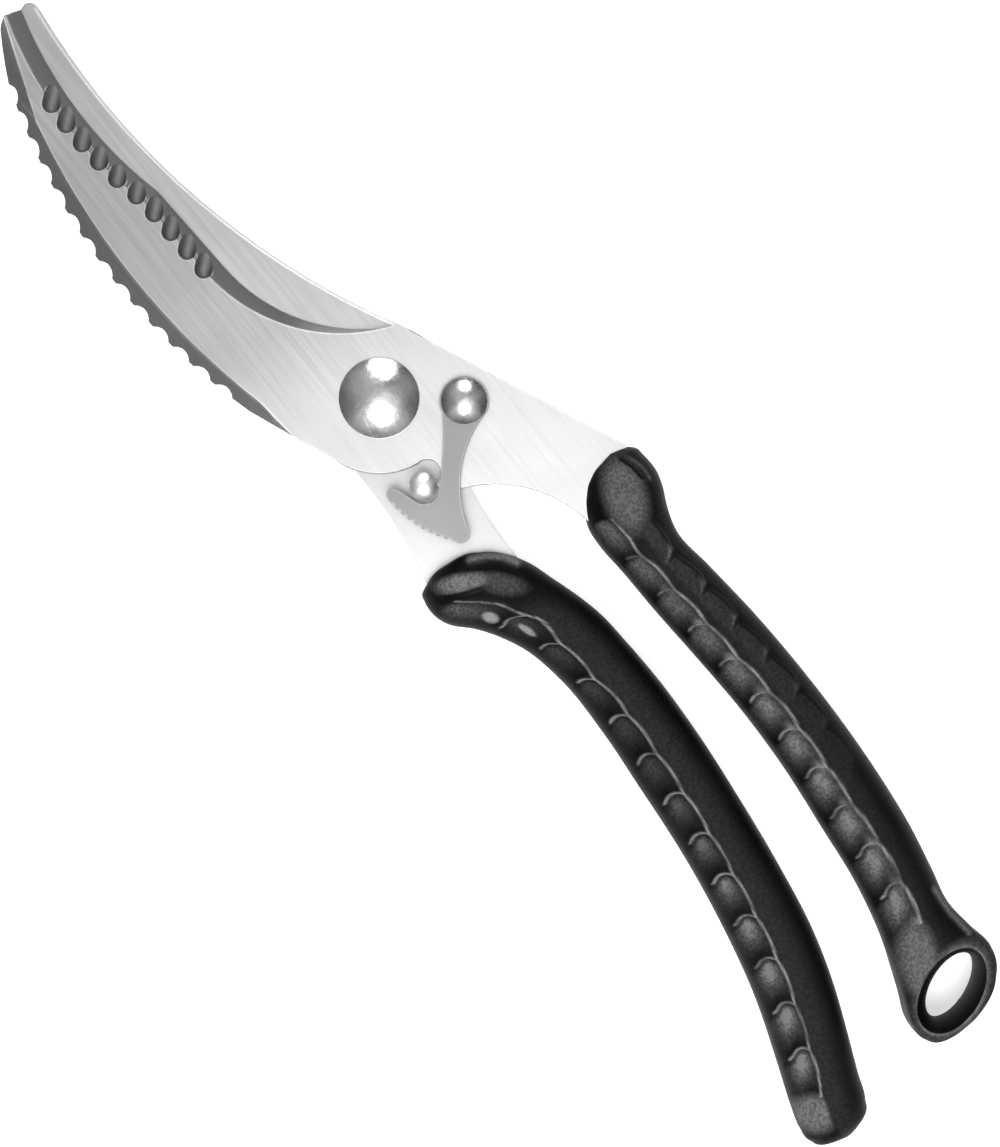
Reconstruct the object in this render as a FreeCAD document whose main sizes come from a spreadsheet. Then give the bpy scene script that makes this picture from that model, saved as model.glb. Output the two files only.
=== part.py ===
"""Poultry shears: two lapped blades on an adjustable pivot with a hidden torsion spring,
a swinging thumb latch that hooks a keeper pin, and two moulded grips, one with a hanging loop.

Every piece is drawn about the pivot axis: x runs towards the blade tips, y towards the side of
the scaler edge, z = 0 is the plane where the two blades meet.  Each finished piece is then placed
so that the whole object lies centred on its origin with the grips' lowest faces at z = 0.
"""
import FreeCAD, Part
import math
import os
import Sketcher
from FreeCAD import Placement, Rotation, Vector

DOC = FreeCAD.newDocument("poultry_shears")

# ----------------------------------------------------------------------------- driving sizes (mm)
SIZES = [
    ("pivot_x", 30.1, "pivot axis, from the middle of the object's length"),
    ("pivot_y", 3.4, "pivot axis, from the middle of the object's width"),
    ("meeting_z", 7.8, "height of the plane where the blades meet"),
    ("blade_thick", 3.0, "thickness of each blade"),
    ("edge_thick", 0.5, "steel left at a cutting edge"),
    ("scaler_thick", 1.3, "steel left at the scaler edge"),
    ("spine_chamfer", 0.25, "depth of the chamfer along the rear blade's spine"),
    ("flute_radius", 1.65, "radius of the round-nosed flutes behind the cutting edge"),
    ("flute_floor", 1.05, "height of a flute's floor above the meeting plane"),
    ("flute_pitch", 4.46, "spacing of the flutes along the blade"),
    ("flute_inset", 3.05, "distance from the cutting edge to a flute's nose centre"),
    ("notch_radius", 2.6, "radius of the notches between the scaler's teeth"),
    ("notch_depth", 1.0, "depth of those notches"),
    ("notch_pitch", 5.1, "spacing of the scaler's teeth"),
    ("hub_radius", 13.6, "radius of the rounded hub of each blade about the pivot"),
    ("bolt_head_radius", 7.2, "domed pivot head"),
    ("bolt_head_height", 2.7, "height of that dome"),
    ("bolt_radius", 2.5, "shank of the pivot bolt"),
    ("bolt_square", 5.6, "side of the square neck that keys the bolt to the front blade"),
    ("bush_radius", 3.4, "outside of the bush that carries the rear blade"),
    ("bush_clearance", 0.05, "radial running clearance of the rear blade on the bush"),
    ("nut_radius", 5.6, "slotted round nut on the back"),
    ("nut_height", 2.6, "height of that nut"),
    ("washer_radius", 6.2, "conical tension washer under the nut"),
    ("washer_thick", 0.5, "thickness of its sheet"),
    ("washer_rise", 0.3, "height of its cone"),
    ("spring_pocket_radius", 6.0, "recess for the spring in each blade"),
    ("spring_pocket_depth", 1.8, "depth of that recess"),
    ("spring_wire", 1.0, "diameter of the spring wire"),
    ("spring_mean_radius", 4.7, "mean radius of the coil"),
    ("spring_pitch", 1.12, "rise of one turn of the coil"),
    ("spring_turns", 2.1, "turns of the coil"),
    ("spring_leg", 2.5, "length of each leg along the pivot axis, beyond the coil's last turn"),
    ("latch_thick", 1.5, "thickness of the latch"),
    ("latch_gap", 0.3, "spring washer between the latch and the blade"),
    ("latch_eye_radius", 4.4, "eye of the latch"),
    ("latch_rivet_radius", 1.5, "shank of the latch rivet"),
    ("latch_head_radius", 4.15, "domed head of the latch rivet"),
    ("latch_head_height", 1.9, "height of that dome"),
    ("keeper_radius", 1.5, "neck of the keeper pin where the latch hooks it"),
    ("keeper_collar", 2.2, "collar of the keeper pin, which is also the closing stop"),
    ("keeper_head_radius", 2.5, "domed head of the keeper pin"),
    ("keeper_head_height", 1.3, "height of that dome"),
    ("grip_half", 8.0, "half the thickness of a grip"),
    ("loop_half", 7.3, "half the thickness of the hanging loop"),
    ("loop_outer_long", 10.0, "outside of the loop, long half axis"),
    ("loop_outer_short", 8.9, "outside of the loop, short half axis"),
    ("loop_tilt", 12.5, "turn of the loop's long axis away from the object's width, degrees"),
    ("hole_long", 8.3, "hole of the loop at its rims, long half axis"),
    ("hole_short", 5.2, "hole of the loop at its rims, short half axis"),
    ("hole_waist", 1.8, "how much smaller those half axes are half-way through"),
    ("hole_tilt", 21.0, "turn of the hole's long axis away from the object's width, degrees"),
    ("tang_hole_radius", 1.6, "holes in the hidden tangs that the plastic fills"),
]
SHEET = DOC.addObject("Spreadsheet::Sheet", "sizes")
for row, (alias, value, note) in enumerate(SIZES, start=1):
    SHEET.set(f"A{row}", alias)
    SHEET.set(f"B{row}", str(value))
    SHEET.set(f"C{row}", note)
    SHEET.setAlias(f"B{row}", alias)
DOC.recompute()


def size(alias):
    """The value of one cell of the sheet, as a plain number."""
    return float(SHEET.get(alias))


# Places about the pivot, in the meeting plane.
LATCH_AT = (-10.0, -11.5)
KEEPER_AT = (-17.3, 3.7)
LOOP_AT = (-143.7, -13.9)
HOLE_AT = (-146.0, -14.1)
SPRING_LEG_ANGLE = 25.0

PARTS = []


# ----------------------------------------------------------------------------- drawing helpers
def line(start, end):
    """A straight piece of an outline."""
    return ("line", start, end)


def arc(start, middle, end):
    """A circular piece of an outline, through three points."""
    return ("arc", start, middle, end)


def polar(radius, degrees, centre=(0.0, 0.0)):
    """A point at a distance and direction from a centre."""
    angle = math.radians(degrees)
    return (centre[0] + radius * math.cos(angle), centre[1] + radius * math.sin(angle))


def polyline(points):
    """Straight pieces through a list of points."""
    return [line(a, b) for a, b in zip(points, points[1:])]


def curve_of(piece, height=0.0):
    """The curve of one piece of an outline, at a height."""
    points = [Vector(x, y, height) for x, y in piece[1:]]
    if piece[0] == "line":
        return Part.LineSegment(*points)
    return Part.Arc(*points)


def wire_at(outline, height):
    """A closed or open wire of an outline, at a height."""
    return Part.Wire([curve_of(piece, height).toShape() for piece in outline])


def plane_of(body, role):
    """One of a body's own origin planes or axes."""
    return next(item for item in body.Origin.OriginFeatures if item.Role == role)


def new_body(name):
    body = DOC.addObject("PartDesign::Body", name)
    body.Label = name
    return body


def new_sketch(body, name, role="XY_Plane", height=None):
    """A sketch on one of the body's origin planes, raised by an expression when one is given."""
    sketch = body.newObject("Sketcher::SketchObject", name)
    sketch.AttachmentSupport = [(plane_of(body, role), "")]
    sketch.MapMode = "FlatFace"
    if height is not None:
        sketch.setExpression("AttachmentOffset.Base.z", height)
    return sketch


def draw(sketch, outline):
    """Draw a closed outline and tie the ends of neighbouring pieces together."""
    for piece in outline:
        sketch.addGeometry(curve_of(piece), False)
    count = len(outline)
    for index in range(count):
        other = (index + 1) % count
        target = Vector(*outline[index][-1], 0.0)
        ends = []
        for geometry in (index, other):
            start_gap = (sketch.getPoint(geometry, 1) - target).Length
            end_gap = (sketch.getPoint(geometry, 2) - target).Length
            ends.append(1 if start_gap < end_gap else 2)
        sketch.addConstraint(Sketcher.Constraint("Coincident", index, ends[0], other, ends[1]))


def draw_circle(sketch, centre, radius_cell, extra=""):
    """A circle whose radius comes from the sheet."""
    radius = size(radius_cell)
    index = sketch.addGeometry(Part.Circle(Vector(*centre, 0.0), Vector(0, 0, 1), radius), False)
    number = sketch.addConstraint(Sketcher.Constraint("Radius", index, radius))
    sketch.setExpression(f"Constraints[{number}]", f"sizes.{radius_cell}{extra}")


def pad(body, sketch, name, length, downward=False):
    """A pad of the sketch whose length is an expression."""
    feature = body.newObject("PartDesign::Pad", name)
    feature.Profile = sketch
    feature.setExpression("Length", length)
    feature.Reversed = downward
    return feature


def pocket(body, sketch, name, length, upward=False):
    """A pocket of the sketch, downwards unless told otherwise; its depth is an expression."""
    DOC.recompute()
    before = body.Shape.Volume
    feature = body.newObject("PartDesign::Pocket", name)
    feature.Profile = sketch
    feature.setExpression("Length", length)
    feature.Reversed = upward
    DOC.recompute()
    if body.Shape.Volume >= before - 1e-6:
        raise RuntimeError(f"{name} removes nothing")
    return feature


def turned(name, profile):
    """A body turned about the z axis from a profile of (radius, z) points and arcs."""
    body = new_body(name)
    sketch = new_sketch(body, name + "_profile", "XZ_Plane")
    draw(sketch, profile)
    feature = body.newObject("PartDesign::Revolution", name + "_turning")
    feature.Profile = sketch
    feature.ReferenceAxis = (plane_of(body, "Z_Axis"), [""])
    feature.Angle = 360.0
    return body


def solid_feature(name, shape):
    """A shape made in code, kept in the document as a tool for a boolean."""
    feature = DOC.addObject("Part::Feature", name)
    feature.Shape = shape
    return feature


def cut(name, base, tool):
    feature = DOC.addObject("Part::Cut", name)
    feature.Base = base
    feature.Tool = tool
    feature.Refine = False
    return feature


def cut_in_turn(name, base, tools):
    """Take each tool away from the base, one after another, and see that each one removes some."""
    for number, tool in enumerate(tools, start=1):
        DOC.recompute()
        before = base.Shape.Volume
        base = cut(f"{name}_{number}", base, tool)
        DOC.recompute()
        if base.Shape.isNull() or base.Shape.Volume >= before - 1e-6:
            raise RuntimeError(f"{tool.Name} removes nothing from {name}")
    return base


def fuse(name, shapes):
    feature = DOC.addObject("Part::MultiFuse", name)
    feature.Shapes = shapes
    feature.Refine = False
    return feature


def place(feature, label, at=(0.0, 0.0)):
    """Name a finished piece and put it where the pivot frame says."""
    feature.Label = label
    feature.setExpression("Placement.Base.x", f"sizes.pivot_x + {at[0]}")
    feature.setExpression("Placement.Base.y", f"sizes.pivot_y + {at[1]}")
    feature.setExpression("Placement.Base.z", "sizes.meeting_z")
    PARTS.append(feature)


# ----------------------------------------------------------------------------- ground edges
def ground_edge(name, edge, inner, far, edge_z, face_z):
    """The wedge that a grinding wheel removes between an edge line and the line where it meets
    the blade's face.  Both lines have the same number of pieces; far closes the wedge outside."""
    over = 1.0 + 0.6 / abs(face_z - edge_z)

    def beyond(low, high):
        return tuple(a + (b - a) * over for a, b in zip(low, high))

    raised = []
    for low, high in zip(edge, inner):
        points = [beyond(p, q) for p, q in zip(low[1:], high[1:])]
        raised.append((high[0], *points))
    top_z = edge_z + (face_z - edge_z) * over
    wires = []
    for outline, height in ((edge, edge_z), (raised, top_z)):
        closing = polyline([outline[-1][-1], *far, outline[0][1]])
        wires.append(wire_at(outline + closing, height))
    return solid_feature(name, Part.makeLoft(wires, True, True))


CUT_EDGE = [
    arc((96.6, 6.35), (74.6, 10.15), (54.0, 7.95)),
    line((54.0, 7.95), (36.0, 7.1)),
    arc((36.0, 7.1), (22.9, 3.75), (8.4, -10.75)),
]
CUT_INNER = [
    arc((96.6, 9.05), (75.0, 13.2), (53.6, 11.0)),
    line((53.6, 11.0), (36.0, 10.2)),
    arc((36.0, 10.2), (21.3, 5.4), (8.4, -10.75)),
]


SCALER_EDGE = [
    arc((93.6, 12.3), (91.3, 13.75), (85.7, 16.8)),
    arc((85.7, 16.8), (46.0, 24.1), (12.9, 19.7)),
    line((12.9, 19.7), (4.7, 16.5)),
]
SCALER_OUTSIDE = [
    line((99.0, 9.2), (85.7, 17.1)),
    arc((85.7, 17.1), (46.0, 24.4), (12.9, 20.0)),
    line((12.9, 20.0), (3.6, 16.5)),
]
SCALER_INNER = [
    line((99.0, 8.4), (77.0, 17.1)),
    arc((77.0, 17.1), (46.0, 20.95), (13.0, 17.2)),
    line((13.0, 17.2), (3.9, 16.2)),
]
SPINE = arc((93.4, 4.2), (51.0, 3.45), (8.4, -11.0))
SPINE_INNER = arc((93.8, 4.8), (51.0, 4.05), (8.4, -10.4))
HIDDEN_EDGE = [arc((94.9, 7.6), (60.0, 14.6), (17.0, 13.2))]
HIDDEN_INNER = [arc((94.9, 4.8), (60.0, 11.7), (17.0, 10.3))]


def height_on(piece, x):
    """The y of an arc that bulges towards +y, or of a line, at a given x."""
    if piece[0] == "line":
        (x0, y0), (x1, y1) = piece[1:]
        return y0 + (y1 - y0) * (x - x0) / (x1 - x0)
    circle = curve_of(piece).toShape().Curve
    return circle.Center.y + math.sqrt(circle.Radius ** 2 - (x - circle.Center.x) ** 2)


def flute_cutters():
    """Ten round-nose flutes behind the cutting edge, all slanting back towards the pivot."""
    slant = math.radians(38.0)
    along = Vector(math.sin(slant), -math.cos(slant), 0.0)
    radius = size("flute_radius")
    axis_z = size("flute_floor") + radius
    solids = []
    for index in range(10):
        x = 77.75 - index * size("flute_pitch")
        edge = CUT_EDGE[0] if x > CUT_EDGE[1][1][0] else CUT_EDGE[1]
        nose = Vector(x, height_on(edge, x) + size("flute_inset"), axis_z)
        solids.append(Part.makeSphere(radius, nose).fuse(Part.makeCylinder(radius, 9.0, nose, along)))
    return solid_feature("flute_cutters", Part.makeCompound(solids))


def notch_cutters():
    """Round notches that leave the scaler's teeth standing along the blunt edge."""
    circle = curve_of(SCALER_EDGE[1]).toShape().Curve
    reach = circle.Radius + size("notch_radius") - size("notch_depth")
    step = math.degrees(size("notch_pitch") / circle.Radius)
    centre = (circle.Center.x, circle.Center.y)
    first = math.degrees(math.asin((83.8 - centre[0]) / circle.Radius))
    height = size("blade_thick") + 2.0
    solids = []
    for index in range(14):
        x, y = polar(reach, 90.0 - first + index * step, centre)
        solids.append(Part.makeCylinder(size("notch_radius"), height, Vector(x, y, -1.0)))
    return solid_feature("notch_cutters", Part.makeCompound(solids))


# ----------------------------------------------------------------------------- the two blades
def front_blade():
    """The blade with the flutes and the scaler; its tang runs into the grip with the loop."""
    hub = size("hub_radius") - 0.1
    stop = (KEEPER_AT[0], KEEPER_AT[1] - size("keeper_collar") + 0.15)
    tang_end = polyline([(-34.0, -29.2), (-38.5, -26.6), (-60.0, -24.6), (-96.0, -25.2),
                         (-98.0, -23.4), (-98.0, -20.8), (-96.0, -19.0), (-60.0, -17.9),
                         (-46.0, -17.0), (-41.2, -15.6)])
    outline = [
        arc((95.0, 6.8), (74.6, 10.15), (54.0, 7.95)),
        *CUT_EDGE[1:],
        line((8.4, -10.75), (-34.0, -29.2)),
        *tang_end,
        arc((-41.2, -15.6), (-29.7, -11.2), (-21.9, -1.7)),
        line((-21.9, -1.7), (-20.2, stop[1])),
        line((-20.2, stop[1]), (-18.4, stop[1])),
        arc((-18.4, stop[1]), (-17.2, -0.5), (polar(hub, 172.0))),
        arc(polar(hub, 172.0), polar(hub, 140.0), polar(hub, 114.0)),
        line(polar(hub, 114.0), (4.7, 16.5)),
        *reversed([(piece[0], *reversed(piece[1:])) for piece in SCALER_EDGE]),
        arc((93.6, 12.3), (94.9, 11.1), (95.3, 9.4)),
        line((95.3, 9.4), (95.0, 6.8)),
    ]
    body = new_body("front_blade_blank")
    sketch = new_sketch(body, "front_blade_outline")
    draw(sketch, outline)
    pad(body, sketch, "front_blade_plate", "sizes.blade_thick")
    recess = new_sketch(body, "front_spring_recess")
    draw_circle(recess, (0.0, 0.0), "spring_pocket_radius")
    pocket(body, recess, "front_spring_pocket", "sizes.spring_pocket_depth", upward=True)
    neck = new_sketch(body, "front_square_hole")
    half = size("bolt_square") / 2.0
    draw(neck, polyline([(-half, -half), (half, -half), (half, half), (-half, half),
                         (-half, -half)]))
    pocket(body, neck, "front_square_cut", "sizes.blade_thick", upward=True)
    rivet = new_sketch(body, "front_rivet_hole")
    draw_circle(rivet, LATCH_AT, "latch_rivet_radius")
    pocket(body, rivet, "front_rivet_cut", "sizes.blade_thick", upward=True)
    holes = new_sketch(body, "front_tang_holes")
    for x in (-62.0, -88.0):
        draw_circle(holes, (x, -21.7), "tang_hole_radius")
    pocket(body, holes, "front_tang_cut", "sizes.blade_thick", upward=True)
    leg = new_sketch(body, "front_leg_hole")
    draw_circle(leg, polar(size("spring_mean_radius"), SPRING_LEG_ANGLE + leg_turn()),
                "spring_wire", " / 2 + 0.05")
    pocket(body, leg, "front_leg_cut", "sizes.blade_thick", upward=True)

    face = size("blade_thick")
    cutters = [
        ground_edge("front_cutting_bevel", CUT_EDGE, CUT_INNER, [(8.4, -16.0), (60.0, -6.0),
                    (100.0, 0.0)], size("edge_thick"), face),
        ground_edge("scaler_grind", SCALER_OUTSIDE, SCALER_INNER, [(2.6, 21.0), (10.0, 30.0),
                    (46.0, 34.0), (96.0, 26.0)], size("scaler_thick"), face),
        flute_cutters(),
        notch_cutters(),
        rivet_countersink("latch_countersink", LATCH_AT, 0.0, 1.0),
    ]
    place(cut_in_turn("front_blade_cut", body, cutters), "front_blade")


def rivet_countersink(name, at, face_z, inward):
    """A countersink for a rivet's closed end, opening on a blade's flat face."""
    radius = size("latch_rivet_radius")
    wide = radius + 1.1
    cone = Part.makeCone(wide, radius, 1.1, Vector(at[0], at[1], face_z), Vector(0, 0, inward))
    return solid_feature(name, cone)


def rear_blade():
    """The plain blade behind; its tang carries the keeper pin and runs into the other grip."""
    hub = size("hub_radius")
    tang_end = polyline([(-37.4, -1.6), (-42.5, -0.4), (-50.0, -3.4), (-60.0, -3.9),
                         (-96.0, -2.2), (-98.0, -0.4), (-98.0, 2.6), (-96.0, 4.2), (-60.0, 3.0),
                         (-50.0, 4.6), (-42.0, 8.6), (-32.8, 14.6)])
    outline = [
        line((94.9, 7.6), (95.5, 5.6)),
        arc((95.5, 5.6), (94.9, 4.6), (93.4, 4.2)),
        SPINE,
        line((8.4, -11.0), polar(hub, -58.0)),
        arc(polar(hub, -58.0), polar(hub, -110.0), polar(hub, -150.0)),
        arc(polar(hub, -150.0), (-15.6, -3.9), (-22.5, -2.8)),
        arc((-22.5, -2.8), (-30.0, -1.65), (-37.4, -1.6)),
        *tang_end,
        arc((-32.8, 14.6), (-19.0, 11.9), polar(hub, 122.0)),
        arc(polar(hub, 122.0), polar(hub, 95.0), polar(hub, 68.0)),
        line(polar(hub, 68.0), (17.0, 13.2)),
        ("arc", *reversed(HIDDEN_EDGE[0][1:])),
    ]
    body = new_body("rear_blade_blank")
    sketch = new_sketch(body, "rear_blade_outline")
    draw(sketch, outline)
    pad(body, sketch, "rear_blade_plate", "sizes.blade_thick", downward=True)
    recess = new_sketch(body, "rear_spring_recess")
    draw_circle(recess, (0.0, 0.0), "spring_pocket_radius")
    pocket(body, recess, "rear_spring_pocket", "sizes.spring_pocket_depth")
    bore = new_sketch(body, "rear_bore")
    draw_circle(bore, (0.0, 0.0), "bush_radius", " + sizes.bush_clearance")
    pocket(body, bore, "rear_bore_cut", "sizes.blade_thick")
    pin = new_sketch(body, "rear_keeper_hole")
    draw_circle(pin, KEEPER_AT, "keeper_radius")
    pocket(body, pin, "rear_keeper_cut", "sizes.blade_thick")
    holes = new_sketch(body, "rear_tang_holes")
    for x, y in ((-62.0, -0.6), (-88.0, 0.6)):
        draw_circle(holes, (x, y), "tang_hole_radius")
    pocket(body, holes, "rear_tang_cut", "sizes.blade_thick")
    leg = new_sketch(body, "rear_leg_hole")
    draw_circle(leg, polar(size("spring_mean_radius"), SPRING_LEG_ANGLE), "spring_wire",
                " / 2 + 0.05")
    pocket(body, leg, "rear_leg_cut", "sizes.blade_thick")

    back = -size("blade_thick")
    cutters = [
        ground_edge("rear_cutting_bevel", HIDDEN_EDGE, HIDDEN_INNER, [(17.0, 22.0),
                    (60.0, 24.0), (100.0, 14.0)], -size("edge_thick"), back),
        ground_edge("rear_spine_chamfer", [SPINE], [SPINE_INNER], [(8.4, -14.0), (60.0, -4.0),
                    (96.0, -2.0)], -size("spine_chamfer"), 0.0),
        rivet_countersink("keeper_countersink", KEEPER_AT, back, 1.0),
    ]
    place(cut_in_turn("rear_blade_cut", body, cutters), "rear_blade")


# ----------------------------------------------------------------------------- the pivot
def leg_turn():
    """How far round the coil's upper leg stands from its lower leg, in degrees."""
    return 360.0 * size("spring_turns")


def dome(base_z, radius, height, shank):
    """A domed head: out from the shank along its seat, up a short rim and over a spherical cap."""
    rim = base_z + 0.25 * height
    rise = 0.75 * height
    sphere = (radius ** 2 + rise ** 2) / (2.0 * rise)
    centre = (0.0, rim + rise - sphere)
    half_way = 90.0 - math.degrees(math.asin(radius / sphere)) / 2.0
    return [
        line((shank, base_z), (radius, base_z)),
        line((radius, base_z), (radius, rim)),
        arc((radius, rim), polar(sphere, half_way, centre), (0.0, base_z + height)),
    ]


def pivot_bolt():
    """A domed bolt; its square neck sits in the front blade, so it turns with that blade."""
    shank = size("bolt_radius")
    top = size("blade_thick")
    nut_end = -(size("blade_thick") + size("washer_thick") + size("washer_rise")
                + size("nut_height"))
    profile = dome(top, size("bolt_head_radius"), size("bolt_head_height"), shank)
    profile += polyline([(0.0, top + size("bolt_head_height")), (0.0, nut_end),
                         (shank - 0.4, nut_end), (shank, nut_end + 0.4), (shank, top)])
    turning = turned("pivot_bolt_turning_body", profile)
    neck = DOC.addObject("Part::Box", "pivot_bolt_neck")
    for side in ("Length", "Width"):
        neck.setExpression(side, "sizes.bolt_square")
    neck.setExpression("Height", "sizes.blade_thick - sizes.spring_pocket_depth")
    neck.setExpression("Placement.Base.x", "-sizes.bolt_square / 2")
    neck.setExpression("Placement.Base.y", "-sizes.bolt_square / 2")
    neck.setExpression("Placement.Base.z", "sizes.spring_pocket_depth")
    place(fuse("pivot_bolt_fused", [turning, neck]), "pivot_bolt")


def pivot_bush():
    """The hardened sleeve on the bolt: the rear blade turns on it and the coil sits round it."""
    inner = size("bolt_radius")
    outer = size("bush_radius")
    low = -size("blade_thick")
    high = size("spring_pocket_depth")
    place(turned("pivot_bush_turning", polyline([(inner, low), (outer, low), (outer, high),
                                                 (inner, high), (inner, low)])), "pivot_bush")


def tension_washer():
    """A conical spring washer: its rim presses on the rear blade, its bore on the nut."""
    inner = size("bolt_radius") + 0.15
    outer = size("washer_radius")
    rim = -size("blade_thick") - 0.03
    thick = size("washer_thick")
    rise = size("washer_rise")
    place(turned("tension_washer_turning", polyline([
        (outer, rim), (inner, rim - rise), (inner, rim - rise - thick), (outer, rim - thick),
        (outer, rim)])), "tension_washer")


def pivot_nut():
    """The slotted round nut on the back, which sets how tightly the blades meet."""
    inner = size("bolt_radius")
    outer = size("nut_radius")
    high = -(size("blade_thick") + size("washer_thick") + size("washer_rise")) - 0.03
    low = high - size("nut_height")
    body = turned("pivot_nut_turning", polyline([
        (inner, high), (outer, high), (outer, low + 0.5), (outer - 0.5, low), (inner, low),
        (inner, high)]))
    slot = DOC.addObject("Part::Box", "pivot_nut_slot")
    slot.Length = 2.0 * outer + 1.0
    slot.Width = 1.4
    slot.Height = 1.0
    slot.Placement = Placement(Vector(-outer - 0.5, -0.7, low - 0.2), Rotation())
    place(cut("pivot_nut_cut", body, slot), "pivot_nut")


def torsion_spring():
    """A close coil round the bush whose two axial legs each stand in a hole of one blade."""
    wire = size("spring_wire") / 2.0
    radius = size("spring_mean_radius")
    rise = size("spring_pitch") * size("spring_turns")
    low = -rise / 2.0
    helix = Part.makeHelix(size("spring_pitch"), rise, radius)
    start = Vector(radius, 0.0, 0.0)
    section = Part.Wire([Part.makeCircle(wire, start, Vector(0.0, 1.0, 0.0))])
    coil = Part.Wire([helix]).makePipeShell([section], True, True)
    coil.rotate(Vector(), Vector(0, 0, 1), SPRING_LEG_ANGLE)
    coil.translate(Vector(0.0, 0.0, low))
    reach = size("blade_thick") - 0.2 + low
    ends = []
    for angle, z, direction in ((SPRING_LEG_ANGLE, low, -1.0),
                                (SPRING_LEG_ANGLE + leg_turn(), -low, 1.0)):
        x, y = polar(radius, angle)
        corner = Vector(x, y, z)
        ends.append(Part.makeSphere(wire, corner))
        ends.append(Part.makeCylinder(wire, reach, corner, Vector(0.0, 0.0, direction)))
    shape = coil.fuse(ends).removeSplitter()
    place(solid_feature("torsion_spring_wire", shape), "torsion_spring")


# ----------------------------------------------------------------------------- latch and keeper
def latch():
    """A stamped hook that hangs from its rivet; its lower edge is ribbed for the thumb."""
    eye = size("latch_eye_radius")
    leave = polar(eye, 80.0, LATCH_AT)
    reach = polar(eye, 205.0, LATCH_AT)
    outline = [
        arc(leave, polar(eye, -40.0, LATCH_AT), reach),
        arc(reach, (-19.1, -3.6), (-28.4, 2.2)),
        arc((-28.4, 2.2), (-29.75, 3.9), (-28.6, 5.3)),
        arc((-28.6, 5.3), (-23.2, 8.45), (-15.4, 10.05)),
        arc((-15.4, 10.05), (-14.05, 9.2), (-14.6, 7.75)),
        line((-14.6, 7.75), (-18.3, 6.55)),
        arc((-18.3, 6.55), (-20.35, 4.6), (-19.6, 1.95)),
        arc((-19.6, 1.95), (-15.0, -2.6), leave),
    ]
    body = new_body("latch_blank")
    sketch = new_sketch(body, "latch_outline", height="sizes.blade_thick + sizes.latch_gap")
    draw(sketch, outline)
    pad(body, sketch, "latch_plate", "sizes.latch_thick")
    hole = new_sketch(body, "latch_eye_hole",
                      height="sizes.blade_thick + sizes.latch_gap + sizes.latch_thick")
    draw_circle(hole, LATCH_AT, "latch_rivet_radius", " + 0.06")
    pocket(body, hole, "latch_eye_cut", "sizes.latch_thick")

    edge = curve_of(outline[3]).toShape()
    low = size("blade_thick") + size("latch_gap") - 0.5
    groove = 0.75
    grooves = []
    for index in range(9):
        fraction = 0.08 + index * 0.105
        foot = edge.valueAt(edge.FirstParameter
                            + fraction * (edge.LastParameter - edge.FirstParameter))
        outward = (foot - edge.Curve.Center).normalize()
        centre = foot + outward * (groove - 0.25)
        grooves.append(Part.makeCylinder(groove, size("latch_thick") + 1.0,
                                         Vector(centre.x, centre.y, low)))
    ribs = solid_feature("latch_thumb_grooves", Part.makeCompound(grooves))
    place(cut("latch_cut", body, ribs), "latch")


def latch_washer():
    """The thin spring washer that keeps the latch off the blade and stops it from flapping."""
    inner = size("latch_rivet_radius")
    low = size("blade_thick")
    high = low + size("latch_gap")
    body = turned("latch_washer_turning", polyline([
        (inner, low), (inner + 2.1, low), (inner + 2.1, high), (inner, high), (inner, low)]))
    place(body, "latch_washer", LATCH_AT)


def latch_rivet():
    """The domed rivet that the latch swings on, closed flush in the front blade."""
    shank = size("latch_rivet_radius")
    top = size("blade_thick") + size("latch_gap") + size("latch_thick") + 0.05
    profile = dome(top, size("latch_head_radius"), size("latch_head_height"), shank)
    profile += polyline([(0.0, top + size("latch_head_height")), (0.0, 0.05),
                         (shank + 1.05, 0.05), (shank, 1.1), (shank, top)])
    place(turned("latch_rivet_turning", profile), "latch_rivet", LATCH_AT)


def keeper_pin():
    """The headed pin on the rear blade: its collar is the closing stop, its neck the catch."""
    back = -size("blade_thick")
    neck = size("keeper_radius")
    collar = size("keeper_collar")
    collar_top = size("blade_thick") + 0.1
    head_z = size("blade_thick") + size("latch_gap") + size("latch_thick") + 0.35
    profile = dome(head_z, size("keeper_head_radius"), size("keeper_head_height"), neck)
    profile += polyline([(0.0, head_z + size("keeper_head_height")), (0.0, back + 0.05),
                         (neck + 1.05, back + 0.05), (neck, back + 1.1), (neck, 0.0),
                         (collar, 0.0), (collar, collar_top), (neck, collar_top),
                         (neck, head_z)])
    place(turned("keeper_pin_turning", profile), "keeper_pin", KEEPER_AT)


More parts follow.
